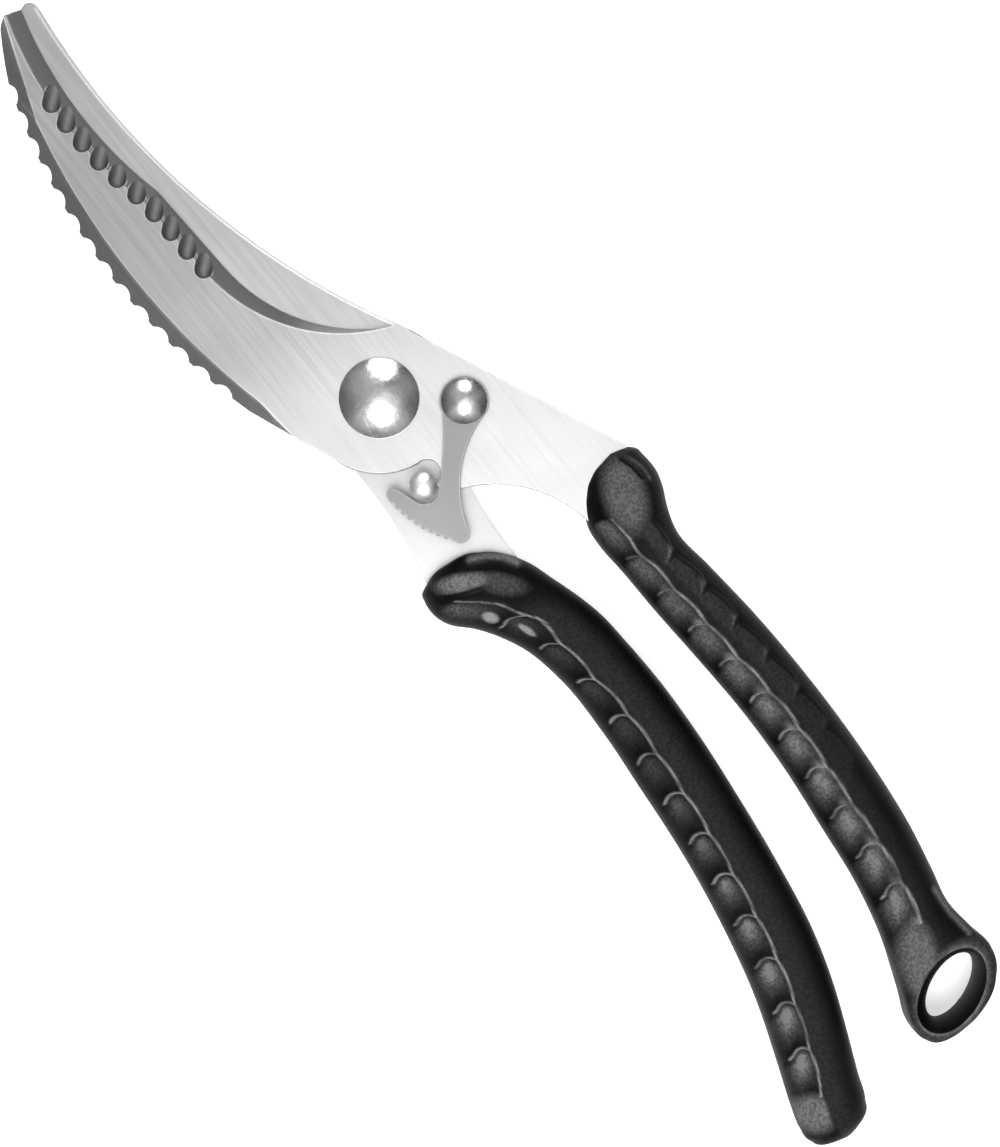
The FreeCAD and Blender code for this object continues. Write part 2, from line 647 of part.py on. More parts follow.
# ----------------------------------------------------------------------------- the grips
# Cross-sections along a grip: x, the two sides in y, and the half thickness.
FRONT_SECTIONS = [
    (-33.4, -26.9, -25.1, 2.6), (-34.0, -28.9, -22.7, 5.0), (-35.2, -30.2, -19.9, 6.4),
    (-37.2, -30.8, -17.5, 7.2), (-40.0, -30.9, -15.6, 7.7), (-44.0, -29.9, -14.5, 8.0),
    (-51.0, -26.8, -14.6, 8.0), (-62.0, -27.7, -15.2, 8.0), (-76.0, -28.8, -16.0, 8.0),
    (-92.0, -28.9, -15.9, 8.0), (-108.0, -27.8, -14.3, 8.0), (-122.0, -25.9, -12.3, 8.0),
    (-133.0, -23.8, -10.0, 7.8), (-140.0, -22.4, -7.6, 7.4), (-146.0, -21.0, -6.6, 7.0),
]
REAR_SECTIONS = [
    (-30.7, 9.6, 12.6, 2.6), (-31.3, 6.2, 14.8, 5.0), (-32.6, 3.3, 16.0, 6.4),
    (-35.0, 0.3, 16.6, 7.2), (-38.5, -2.1, 16.0, 7.7), (-43.0, -3.6, 12.5, 8.0),
    (-50.0, -5.8, 8.1, 8.0), (-58.0, -7.2, 6.2, 8.0), (-70.0, -7.5, 6.2, 8.0),
    (-86.0, -6.5, 7.4, 8.0), (-102.0, -4.95, 9.4, 8.0), (-118.0, -2.4, 12.4, 8.0),
    (-132.0, 1.1, 16.5, 7.9), (-143.0, 5.8, 20.5, 7.6), (-150.0, 9.2, 22.3, 6.9),
    (-153.6, 11.4, 21.8, 5.8), (-155.1, 13.4, 20.0, 4.2), (-155.7, 15.2, 17.8, 2.2),
]


def section_wire(x, low, high, half):
    """A rounded cross-section: a superellipse between two sides, in a plane across the grip."""
    power = 2.0 / 2.4
    count = 24
    points = []
    for index in range(count):
        angle = 2.0 * math.pi * index / count
        across = math.copysign(abs(math.cos(angle)) ** power, math.cos(angle))
        upward = math.copysign(abs(math.sin(angle)) ** power, math.sin(angle))
        points.append(Vector(x, (low + high) / 2.0 + (high - low) / 2.0 * across, half * upward))
    spline = Part.BSplineCurve()
    spline.interpolate(points, True)
    return Part.Wire([spline.toShape()])


def grip_core(name, sections):
    """The moulded bar of a grip, lofted through its cross-sections."""
    wires = [section_wire(*section) for section in sections]
    return solid_feature(name, Part.makeLoft(wires, True, True))


def stacked_ellipses(name, centre, tilt, long_axis, short_axis, levels):
    """An upright elliptical block through levels of (inset of both half axes, height)."""
    middle = Vector(centre[0], centre[1], 0.0)
    wires = []
    for inset, height in levels:
        ellipse = Part.Ellipse(middle, long_axis - inset, short_axis - inset)
        wire = Part.Wire([ellipse.toShape()])
        wire.rotate(middle, Vector(0, 0, 1), 90.0 + tilt)
        wire.translate(Vector(0.0, 0.0, height))
        wires.append(wire)
    return solid_feature(name, Part.makeLoft(wires, True, True))


def loop_outside():
    """The loop as a block with its rims rounded off."""
    rounding = 2.2
    half = size("loop_half")
    levels = []
    for angle in (90.0, 60.0, 30.0, 0.0):
        inset, drop = polar(rounding, angle)
        levels.append((rounding - inset, half - rounding + drop))
    levels += [(inset, -height) for inset, height in reversed(levels)]
    return stacked_ellipses("loop_outside", LOOP_AT, size("loop_tilt"), size("loop_outer_long"),
                            size("loop_outer_short"), levels)


def loop_hole():
    """The hanging hole, which narrows from both rims to a waist half-way through."""
    half = size("loop_half")
    waist = size("hole_waist")
    levels = [(0.0, half + 2.0), (0.0, half), (0.7 * waist, half / 2.0), (waist, 0.0)]
    levels += [(inset, -height) for inset, height in reversed(levels[:-1])]
    return stacked_ellipses("loop_hole", HOLE_AT, size("hole_tilt"), size("hole_long"),
                            size("hole_short"), levels)


def resting_flat(name):
    """The block below the grips that leaves each a flat land to lie on."""
    block = DOC.addObject("Part::Box", name)
    block.Length = 140.0
    block.Width = 70.0
    block.Height = 4.0
    block.Placement.Base = Vector(-165.0, -40.0, 0.0)
    block.setExpression("Placement.Base.z", "-sizes.meeting_z - 4")
    return block


def tang_space(name, blade):
    """A copy of a blade in the pivot frame: the plastic is moulded round its tang."""
    shape = blade.Shape.copy()
    shape.Placement = Placement()
    keep = Part.makeBox(90.0, 80.0, 20.0, Vector(-120.0, -40.0, -10.0))
    return solid_feature(name, shape.common(keep))


def find_part(label):
    return next(feature for feature in PARTS if feature.Label == label)


def front_grip():
    """The grip on the fluted blade's tang; it ends in the hanging loop."""
    core = grip_core("front_grip_core", FRONT_SECTIONS)
    tools = [loop_hole(), resting_flat("front_rest"),
             tang_space("front_tang_space", find_part("front_blade"))]
    solid = fuse("front_grip_solid", [core, loop_outside()])
    place(cut_in_turn("front_grip_cut", solid, tools), "front_grip")


def rear_grip():
    """The plain grip on the rear blade's tang."""
    core = grip_core("rear_grip_core", REAR_SECTIONS)
    tools = [resting_flat("rear_rest"), tang_space("rear_tang_space", find_part("rear_blade"))]
    place(cut_in_turn("rear_grip_cut", core, tools), "rear_grip")


# ----------------------------------------------------------------------------- build and write
front_blade()
rear_blade()
DOC.recompute()
front_grip()
rear_grip()
pivot_bolt()
pivot_bush()
tension_washer()
pivot_nut()
torsion_spring()
latch()
latch_washer()
latch_rivet()
keeper_pin()
DOC.recompute()

for item in DOC.Objects:
    if "Invalid" in item.State or "Error" in item.State:
        raise RuntimeError(f"{item.Label} did not compute: {item.State}")
for feature in PARTS:
    if feature.Shape.isNull() or not feature.Shape.isValid():
        raise RuntimeError(f"{feature.Label} is not a valid shape")

os.makedirs("parts", exist_ok=True)
whole = FreeCAD.BoundBox()
for feature in PARTS:
    feature.Shape.exportStep(f"parts/{feature.Label}.step")
    whole.add(feature.Shape.optimalBoundingBox())
    print(f"{feature.Label:16s} {len(feature.Shape.Solids)} solid(s)"
          f" {feature.Shape.Volume:9.1f} mm3")
print("bounds", whole)
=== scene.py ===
"""Looks of the poultry shears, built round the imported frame.

Metres, in the frame of the CAD part.  Shapes that follow the grips are worked out in the pivot
frame: millimetres from the pivot axis, x towards the blade tips, y towards the scaler's side and
z up from the plane where the two blades meet.
"""

import math

import bpy
import numpy as np
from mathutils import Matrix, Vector


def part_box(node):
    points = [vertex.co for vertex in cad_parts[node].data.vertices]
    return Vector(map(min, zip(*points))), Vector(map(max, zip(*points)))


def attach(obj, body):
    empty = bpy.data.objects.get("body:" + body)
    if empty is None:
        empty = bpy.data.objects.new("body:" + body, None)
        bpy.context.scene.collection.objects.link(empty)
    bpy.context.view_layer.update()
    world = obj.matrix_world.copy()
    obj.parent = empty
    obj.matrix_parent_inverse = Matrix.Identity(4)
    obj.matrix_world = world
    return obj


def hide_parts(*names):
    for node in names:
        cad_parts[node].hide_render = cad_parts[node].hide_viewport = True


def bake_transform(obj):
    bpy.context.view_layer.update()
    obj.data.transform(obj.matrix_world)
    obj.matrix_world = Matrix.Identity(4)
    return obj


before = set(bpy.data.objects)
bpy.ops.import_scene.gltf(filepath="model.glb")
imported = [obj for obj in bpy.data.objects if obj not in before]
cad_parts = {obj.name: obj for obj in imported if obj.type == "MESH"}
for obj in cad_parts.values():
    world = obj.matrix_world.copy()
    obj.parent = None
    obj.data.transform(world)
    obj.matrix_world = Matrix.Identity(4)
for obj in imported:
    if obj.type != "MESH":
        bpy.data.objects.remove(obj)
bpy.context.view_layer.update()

MM = 0.001
BOLT_LOW, BOLT_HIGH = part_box("pivot_bolt")
PIVOT = np.array([(BOLT_LOW.x + BOLT_HIGH.x) / 2, (BOLT_LOW.y + BOLT_HIGH.y) / 2,
                  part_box("front_blade")[0].z])


# ----------------------------------------------------------------------------- small helpers
def in_frame(points):
    """Points of the pivot frame, in millimetres, as points of the part's frame, in metres."""
    return PIVOT + np.asarray(points, float) * MM


def smooth_step(value):
    """0 below 0, 1 above 1 and a smooth rise between."""
    held = np.clip(value, 0.0, 1.0)
    return held * held * (3.0 - 2.0 * held)


def spline_through(knots, values, at):
    """A Catmull-Rom curve through rows of values at uneven knots, read at many places."""
    knots, values = np.asarray(knots, float), np.asarray(values, float)
    slopes = np.gradient(values, knots, axis=0)
    index = np.clip(np.searchsorted(knots, at, side="right") - 1, 0, len(knots) - 2)
    gap = knots[index + 1] - knots[index]
    share = (at - knots[index]) / gap
    share, gap = share[:, None], gap[:, None]
    square, cube = share ** 2, share ** 3
    return ((2 * cube - 3 * square + 1) * values[index] + (cube - 2 * square + share) * gap
            * slopes[index] + (3 * square - 2 * cube) * values[index + 1]
            + (cube - square) * gap * slopes[index + 1])


def mesh_piece(name, vertices, faces, body, material, replaces=None):
    """A smooth-shaded mesh that rides on a body; vertices are in metres, in the part's frame."""
    mesh = bpy.data.meshes.new(name)
    mesh.from_pydata(np.asarray(vertices).tolist(), [], faces)
    mesh.validate()
    mesh.shade_smooth()
    piece = bpy.data.objects.new(name, mesh)
    bpy.context.scene.collection.objects.link(piece)
    mesh.materials.append(material)
    if body:
        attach(piece, body)
    if replaces:
        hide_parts(replaces)
    return piece


# ----------------------------------------------------------------------------- material helpers
def new_material(name):
    """A material, its node tree and its Principled shader."""
    material = bpy.data.materials.new(name)
    material.use_nodes = True
    return material, material.node_tree, material.node_tree.nodes["Principled BSDF"]


def add(tree, kind, inputs=(), **settings):
    """A shader node: settings are its properties, inputs are pairs of a socket and what it gets."""
    node = tree.nodes.new("ShaderNode" + kind)
    for key, value in settings.items():
        setattr(node, key, value)
    for socket, value in inputs:
        if isinstance(value, bpy.types.NodeSocket):
            tree.links.new(value, node.inputs[socket])
        else:
            node.inputs[socket].default_value = value
    return node


def maths(tree, operation, *values):
    return add(tree, "Math", list(enumerate(values)), operation=operation).outputs[0]


def ramped(tree, value, low, high, out_low=0.0, out_high=1.0):
    """A value carried smoothly from one range to another."""
    node = add(tree, "MapRange", [("Value", value), ("From Min", low), ("From Max", high),
                                  ("To Min", out_low), ("To Max", out_high)],
               interpolation_type="SMOOTHSTEP")
    return node.outputs["Result"]


def mixed(tree, share, first, second):
    """Two colours mixed."""
    node = add(tree, "Mix", [(0, share), (6, first), (7, second)], data_type="RGBA")
    return node.outputs[2]


def noise(tree, vector, scale, detail=2.0, rough=0.5):
    return add(tree, "TexNoise", [("Vector", vector), ("Scale", scale), ("Detail", detail),
                                  ("Roughness", rough)]).outputs[0]


def stretched(tree, vector, scale):
    """Coordinates stretched so that a noise turns into grain."""
    return add(tree, "Mapping", [("Vector", vector), ("Scale", scale)]).outputs[0]


def grey(level):
    return (level, level, level, 1.0)


# ----------------------------------------------------------------------------- materials
# Pairs are where an effect starts and where it is full.
FACE_SKIN, GROUND_FROM = 0.00008, 0.00030   # depths below the face's plane, in metres
# How far below the face the painted highlight line reaches: where it is gone and where it is full.
EDGE_HIGHLIGHT_DEPTHS = (0.00100, 0.00070)
STEEP = (0.80, 0.66)                        # the upward part of a chamfer's normal where painted shade starts and where it is full
TIP_SHADE_SPAN = (0.001, 0.026)                 # painted shade: metres from the pivot towards the tips over which the blade darkens
# Painted light: the sunk tone is lifted beside the hub, from the pivot towards the tips and towards
# the scaler's side.
HUB_LIGHT_SPAN = (0.012, 0.030)
SPINE_LIGHT_SPAN = (0.001, 0.005)                 # metres from the pivot towards the scaler's side
HUB_PAINTED_LIGHT = 0.14
# Tones of the painted shade line and the painted highlight line; the shade tone also goes on steep
# chamfers.
EDGE_SHADE_TONE, EDGE_HIGHLIGHT_TONE = 0.05, 0.95
# For each line along an edge, the outermost a painted shade line and the one beside it a
# painted highlight line: the bevel's radius in metres, and how far the bevelled normal agrees
# with the plain one where the line starts and where it is full.
EDGE_SHADE_LINE = (0.00100, 0.84, 0.76)
EDGE_HIGHLIGHT_LINE = (0.00042, 0.9995, 0.985)
BLADE_GRAIN = (35.0, 1500.0, 1500.0)
LATCH_GRAIN = (420.0, 900.0, 900.0)
EVEN_GRAIN = (700.0, 700.0, 700.0)


def edge_line(tree, plain, radius, start, full):
    """1 along the edges of a mesh, as far as a bevel of some radius turns the plain normal."""
    rounded = add(tree, "Bevel", [("Radius", radius)], samples=8).outputs[0]
    turned = add(tree, "VectorMath", [(0, rounded), (1, plain)],
                 operation="DOT_PRODUCT").outputs["Value"]
    return ramped(tree, turned, start, full)


def steel(name, top, face, ground, roughness, blade=1.0, line=0.60,
          chamfer=0.0, grain_scale=BLADE_GRAIN):
    """Satin steel: fine grain along the blade, soft clouding, a painted highlight line beside each
    edge of the face and a painted shade line on its outermost edge.  Whatever lies below the
    face at height top, such as a bevel or a flute, is rougher, as ground steel is, and takes a
    darker tone as painted shade, lifted by painted light beside the hub on the spine's side.
    The blade share is how light the blade is beyond the hub, as painted shade, the line share
    how light the painted highlight line is, the chamfer share how dark the painted shade on the
    chamfers is."""
    material, tree, shader = new_material(name)
    place = add(tree, "TexCoord").outputs["Object"]
    grain = noise(tree, stretched(tree, place, grain_scale), 1.0, 3.0, 0.6)
    cloud = noise(tree, place, 55.0, 2.0)
    speck = noise(tree, place, 2600.0, 1.0)
    plain = add(tree, "NewGeometry").outputs["True Normal"]
    outermost = edge_line(tree, plain, *EDGE_SHADE_LINE)
    beside = edge_line(tree, plain, *EDGE_HIGHLIGHT_LINE)
    parts = add(tree, "SeparateXYZ", [(0, place)]).outputs
    sunk = ramped(tree, parts["Z"], top - FACE_SKIN, top - GROUND_FROM)
    upward = add(tree, "SeparateXYZ", [(0, plain)]).outputs["Z"]
    steep = ramped(tree, upward, *STEEP)
    # Painted shade: the blade darker beyond the hub, down to the blade share.
    fade = ramped(tree, parts["X"], PIVOT[0] + TIP_SHADE_SPAN[0], PIVOT[0] + TIP_SHADE_SPAN[1],
                  1.0, blade)
    shade = maths(tree, "MULTIPLY", ramped(tree, cloud, 0.35, 0.65, 0.96, 1.04),
                  ramped(tree, grain, 0.3, 0.7, 0.975, 1.02))
    shade = maths(tree, "MULTIPLY", shade, fade)
    # Painted light: the sunk surfaces lighter beside the hub on the spine's side.
    hub_light = maths(tree, "MULTIPLY",
                     ramped(tree, parts["X"], PIVOT[0] + HUB_LIGHT_SPAN[0], PIVOT[0] + HUB_LIGHT_SPAN[1],
                            1.0, 0.0),
                     ramped(tree, parts["Y"], PIVOT[1] + SPINE_LIGHT_SPAN[0], PIVOT[1] + SPINE_LIGHT_SPAN[1],
                            1.0, 0.0))
    # Sunk surfaces take the ground tone, darker than the face as painted shade.
    tone = mixed(tree, sunk, grey(face),
                 mixed(tree, hub_light, grey(ground), grey(ground + HUB_PAINTED_LIGHT)))
    # Painted shade: steep chamfers darkened by the chamfer share.
    tone = mixed(tree, maths(tree, "MULTIPLY", steep, chamfer), tone, grey(EDGE_SHADE_TONE))
    # Painted highlight line beside the face's edges.
    light = ramped(tree, parts["Z"], top - EDGE_HIGHLIGHT_DEPTHS[0], top - EDGE_HIGHLIGHT_DEPTHS[1],
                   0.0, line)
    tone = mixed(tree, maths(tree, "MULTIPLY", beside, light), tone, grey(EDGE_HIGHLIGHT_TONE))
    # Painted shade line on the outermost edges.
    dark = maths(tree, "MULTIPLY", outermost,
                 ramped(tree, parts["Z"], top - GROUND_FROM, top - FACE_SKIN, 0.0, 0.85))
    tone = mixed(tree, dark, tone, grey(EDGE_SHADE_TONE))
    tone = add(tree, "VectorMath", [(0, tone), (3, shade)], operation="SCALE").outputs[0]
    gloss = maths(tree, "ADD", ramped(tree, grain, 0.3, 0.7, roughness - 0.04, roughness + 0.05),
                  maths(tree, "MULTIPLY", sunk, 0.30))
    ripple = maths(tree, "ADD", maths(tree, "MULTIPLY", grain, 0.5),
                   maths(tree, "MULTIPLY", speck, 0.6))
    bump = add(tree, "Bump", [("Strength", 0.12), ("Distance", 0.00004),
                              ("Height", ripple)]).outputs[0]
    tree.links.new(tone, shader.inputs["Base Color"])
    tree.links.new(gloss, shader.inputs["Roughness"])
    tree.links.new(bump, shader.inputs["Normal"])
    shader.inputs["Metallic"].default_value = 1.0
    return material


def polished(name, face, roughness):
    """Polished bolt, nut, rivet and pin heads: smooth, with the faint dimples of a formed head."""
    material, tree, shader = new_material(name)
    place = add(tree, "TexCoord").outputs["Object"]
    dimple = noise(tree, place, 420.0, 2.0, 0.55)
    smear = noise(tree, place, 900.0, 3.0, 0.6)
    rounded = add(tree, "Bevel", [("Radius", 0.00012)], samples=6).outputs[0]
    bump = add(tree, "Bump", [("Strength", 0.45), ("Distance", 0.00018), ("Height", dimple),
                              ("Normal", rounded)]).outputs[0]
    tree.links.new(ramped(tree, smear, 0.3, 0.7, roughness, roughness + 0.10),
                   shader.inputs["Roughness"])
    tree.links.new(mixed(tree, ramped(tree, smear, 0.35, 0.7), grey(face), grey(face * 0.86)),
                   shader.inputs["Base Color"])
    tree.links.new(bump, shader.inputs["Normal"])
    shader.inputs["Metallic"].default_value = 1.0
    return material


# Tones of the painted glint on ridges and arcs, partly wear, and of the painted sheen that greys
# the grips.
RUBBED_GLINT_TONE, GREY_SHEEN_TONE = 0.26, 0.165


def black_plastic():
    """Black moulded plastic with a fine spark-eroded texture.  The mesh says where a painted
    glint lies, such as the ridges, partly wear, and where a painted sheen greys it, such as the
    scoops' floors."""
    material, tree, shader = new_material("black_moulded_plastic")
    place = add(tree, "TexCoord").outputs["Object"]
    fine = noise(tree, place, 2300.0, 2.0, 0.6)
    coarse = noise(tree, place, 2000.0, 2.0)
    cloud = noise(tree, place, 90.0, 2.0)
    rubbed_and_glint = add(tree, "Attribute", attribute_name="rubbed_and_glint").outputs["Fac"]
    greyed_and_sheen = add(tree, "Attribute", attribute_name="greyed_and_sheen").outputs["Fac"]
    # Painted glint, partly wear, broken up by noise.
    worn_glint = maths(tree, "MULTIPLY", rubbed_and_glint, ramped(tree, coarse, 0.25, 0.6, 0.6, 1.0))
    worn_glint = maths(tree, "MULTIPLY", worn_glint,
                 ramped(tree, noise(tree, place, 260.0, 1.0), 0.30, 0.62, 0.45, 1.15))
    # Painted sheen, broken up by noise.
    grey_sheen = maths(tree, "MULTIPLY", greyed_and_sheen, ramped(tree, coarse, 0.34, 0.66, 0.62, 1.24))
    tone = mixed(tree, ramped(tree, fine, 0.35, 0.7), grey(0.0016), grey(0.005))
    tone = mixed(tree, ramped(tree, cloud, 0.35, 0.65, 0.0, 0.35), tone, grey(0.007))
    tone = mixed(tree, grey_sheen, tone, grey(GREY_SHEEN_TONE))
    tone = mixed(tree, worn_glint, tone, grey(RUBBED_GLINT_TONE))
    gloss = ramped(tree, maths(tree, "ADD", fine, maths(tree, "MULTIPLY", cloud, 0.6)),
                   0.5, 1.1, 0.42, 0.56)
    height = maths(tree, "ADD", fine, maths(tree, "MULTIPLY", coarse, 0.8))
    bump = add(tree, "Bump", [("Strength", 0.30), ("Distance", 0.00010),
                              ("Height", height)]).outputs[0]
    tree.links.new(tone, shader.inputs["Base Color"])
    tree.links.new(gloss, shader.inputs["Roughness"])
    tree.links.new(bump, shader.inputs["Normal"])
    shader.inputs["Specular IOR Level"].default_value = 0.04
    return material


FRONT_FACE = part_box("front_blade")[1].z
LATCH_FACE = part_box("latch")[1].z
# The ground tones, darker than the faces, are painted shade on bevels, flutes and grinds; the blade
# shares darken the blades beyond the hub as painted shade.
BLADE_STEEL = steel("blade_steel", FRONT_FACE, face=0.46, ground=0.22, roughness=0.32, blade=0.76)
REAR_STEEL = steel("rear_blade_steel", PIVOT[2], face=0.405, ground=0.30, roughness=0.34,
                   blade=0.96, line=0.20, chamfer=0.75)
LATCH_STEEL = steel("latch_steel", LATCH_FACE, face=0.21, ground=0.18, roughness=0.40,
                    line=0.22, chamfer=0.7, grain_scale=LATCH_GRAIN)
SPRING_STEEL = steel("spring_steel", 0.0, face=0.40, ground=0.36, roughness=0.38,
                     line=0.3, grain_scale=EVEN_GRAIN)
POLISHED = polished("polished_steel", face=0.47, roughness=0.19)
# The keeper pin's head is the polished steel made lighter, a painted highlight for the bright look
# of its dome.
PIN_STEEL_PAINTED_LIGHT = polished("pin_steel_painted_light", face=0.85, roughness=0.30)
PLASTIC = black_plastic()

NODE_MATERIALS = {
    "front_blade": BLADE_STEEL, "rear_blade": REAR_STEEL, "latch": LATCH_STEEL,
    "pivot_bolt": POLISHED, "latch_rivet": POLISHED, "keeper_pin": PIN_STEEL_PAINTED_LIGHT,
    "pivot_nut": POLISHED, "tension_washer": SPRING_STEEL, "pivot_bush": SPRING_STEEL,
    "latch_washer": SPRING_STEEL,
}


def dress_cad_nodes():
    """Give every CAD node that stays in view its material."""
    for node, material in NODE_MATERIALS.items():
        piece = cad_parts[node]
        for slot in piece.material_slots:
            slot.link = "DATA"
            slot.material = material


# ----------------------------------------------------------------------------- the grips
# All in millimetres of the pivot frame.  Each row is a pair of outline points across the grip,
# left and right as seen from above with the blades away from you: (left x, left y, right x,
# right y).
FRONT_OUTLINE = [
    (-33.7, -25.2, -33.6, -26.6), (-34.1, -22.2, -34.2, -28.8), (-35.0, -20.0, -35.2, -30.2),
    (-36.8, -17.8, -37.5, -30.8), (-38.8, -16.2, -40.6, -30.9), (-41.3, -14.9, -43.4, -30.2),
    (-45.3, -14.4, -47.2, -28.4), (-51.5, -14.7, -52.0, -26.9), (-60.0, -14.9, -60.3, -27.6),
    (-72.0, -15.5, -72.0, -28.6), (-84.5, -15.9, -84.5, -29.0), (-97.4, -15.4, -97.0, -28.8),
    (-110.0, -14.0, -108.6, -28.0), (-121.5, -12.6, -119.0, -26.7), (-131.6, -10.2, -128.0, -24.8),
    (-137.2, -8.2, -134.2, -23.4), (-142.2, -6.3, -139.6, -23.8), (-146.8, -4.4, -144.6, -24.4),
    (-150.3, -4.6, -148.6, -22.5), (-152.3, -6.6, -151.4, -18.7), (-153.2, -10.0, -153.1, -14.1),
]
REAR_OUTLINE = [
    (-31.0, 13.4, -30.6, 11.0), (-31.9, 15.6, -31.1, 6.6), (-33.6, 16.5, -32.9, 2.9),
    (-36.4, 16.7, -35.8, -0.2), (-39.5, 15.6, -39.5, -2.5), (-43.1, 12.4, -44.3, -4.1),
    (-46.9, 9.9, -49.5, -5.7), (-52.0, 7.6, -54.8, -6.9), (-60.0, 6.1, -61.4, -7.4),
    (-71.8, 6.1, -71.4, -7.7), (-83.6, 7.1, -82.4, -7.2), (-97.0, 8.4, -95.0, -5.9),
    (-112.5, 11.0, -110.3, -3.8), (-126.2, 14.4, -123.2, -1.3), (-138.6, 18.9, -134.5, 2.4),
    (-145.6, 21.6, -142.0, 5.6), (-149.6, 22.8, -148.3, 8.4), (-152.2, 22.8, -152.4, 10.1),
    (-154.4, 20.9, -154.8, 12.3), (-155.5, 17.8, -155.6, 15.2),
]
GRIP_HALF = 8.0                  # half the thickness of a grip, and of the loop
LOOP_HALF = 7.3
BAR_POWER, LOOP_SQUARER = 2.4, 3.0      # the sections' superellipse power, and more for the loop
LOOP_RUN = 16.0                  # the length over which the bar turns into the loop
END_POWER = 2.3                  # the superellipse power of the grips' ends seen from the side
HOLE_AT = np.array([-145.9, -13.8])
WAIST_SHIFT = np.array([-0.35, -0.60])
HOLE_LONG, HOLE_SHORT = 8.3, 5.2        # half axes
HOLE_WAIST = 1.8                 # how far the hole closes in halfway through
HOLE_TURN = math.radians(111.0)
RIM_ROUND = 0.25
STEP_WIDTH = 0.36                # how wide a scoop's wall is
SCOOP_DEPTH = 0.95
ARC_LEAD, ARC_APEX = 1.2, 2.2    # how far an arc bows, and how far in from the ridge
RIDGE_WAVE = 0.42                # how far the ridge bows out beside each scoop
RUBBED_GLINT_HALF = 0.22               # half the width of a painted glint line
FACET_DEPTH = 0.30
CREASE_DEPTH, NOSE_STEP_DEPTH, FRONT_CREASE_DEPTH = 0.55, 0.35, 0.60
GRIP_RINGS, GRIP_COLUMNS = 500, 176
RING_BUNCHING = 0.012            # rings are a little closer together at both ends
# Where the ridge line runs: places along the grip, and its share of the width there.
REAR_RIDGE = (
    (6.8, 11.3, 14.2, 17.6, 21.4, 26.7, 31.0, 36.0, 42.0, 52.0, 60.0, 116.0, 125.6),
    (0.21, 0.37, 0.42, 0.41, 0.45, 0.35, 0.34, 0.33, 0.38, 0.40, 0.41, 0.41, 0.35))
FRONT_RIDGE = (
    (9.5, 12.3, 15.5, 18.0, 22.0, 26.0, 32.0, 42.0, 46.5, 57.0, 63.0, 74.0, 82.0, 100.8),
    (0.22, 0.29, 0.34, 0.32, 0.36, 0.36, 0.38, 0.38, 0.40, 0.43, 0.43, 0.44, 0.46, 0.52))
FRONT_BORDER = (                 # the same for the border of the front grip's scales
    (2.5, 7.0, 14.0, 20.0, 30.0, 40.0, 48.0, 56.0, 70.0),
    (0.68, 0.77, 0.72, 0.72, 0.74, 0.73, 0.75, 0.78, 0.79))
FIRST_PAD_END = 19.5             # where the rear grip's first, shallower scoop ends
LOOP_FROM = 104.0                # where the front grip's loop starts


class Grip:
    """A grip's smooth base surface: place(s, t) with s from mouth to end and t round it.

    nose and tail each give how far the grip runs on past the outline's first or last row, and
    the length over which its thickness closes there; flat_from is where the bar starts to turn
    into the loop."""

    def __init__(self, outline, nose, tail, flat_from):
        self.rows = np.array(outline)
        middle = (self.rows[:, :2] + self.rows[:, 2:]) / 2.0
        steps = np.hypot(*np.diff(middle, axis=0).T)
        self.knots = np.concatenate([[0.0], np.cumsum(steps)]) + nose[0]
        self.nose = nose[1]
        self.overhang, self.tail = tail
        self.length = self.knots[-1] + self.overhang
        self.flat_from = flat_from

    def edges(self, s):
        """The left and right outline points at each s, closing to a point at both ends."""
        held = np.clip(s, self.knots[0], self.knots[-1])
        rows = spline_through(self.knots, self.rows, held)
        left, right = rows[:, :2], rows[:, 2:]
        middle = (left + right) / 2.0
        close = np.sqrt(np.clip(s / self.knots[0], 0.0, 1.0))
        close *= np.sqrt(np.clip((self.length - s) / self.overhang, 0.0, 1.0))
        ahead = (middle - spline_through(self.knots, self.rows, np.clip(
            s, self.knots[0] + 0.5, self.knots[-1] - 0.5)).reshape(-1, 2, 2).mean(1))
        size = np.maximum(np.hypot(*ahead.T), 1e-9)[:, None]
        ahead = ahead / size * np.abs(s - held)[:, None] * 0.35
        half = (left - right) / 2.0 * close[:, None]
        return middle + ahead + half, middle + ahead - half

    def place(self, s, t):
        """Surface points, as an array of the same shape as s and t with a last axis of 3."""
        flat_s, flat_t = s.ravel(), t.ravel()
        left, right = self.edges(flat_s)
        box = smooth_step((flat_s - self.flat_from) / LOOP_RUN)
        power = 2.0 / (BAR_POWER + LOOP_SQUARER * box)
        across = np.sign(np.cos(flat_t)) * np.abs(np.cos(flat_t)) ** power
        upward = np.sign(np.sin(flat_t)) * np.abs(np.sin(flat_t)) ** power
        half = GRIP_HALF + (LOOP_HALF - GRIP_HALF) * box
        near = np.clip(flat_s / self.nose, 0.0, 1.0)
        far = np.clip((self.length - flat_s) / self.tail, 0.0, 1.0)
        half = half * (1.0 - (1.0 - near) ** END_POWER) ** (1 / END_POWER)
        half = half * (1.0 - (1.0 - far) ** END_POWER) ** (1 / END_POWER)
        plan = (left + right) / 2.0 + (left - right) / 2.0 * across[:, None]
        return np.column_stack([plan, half * upward]).reshape(*s.shape, 3)


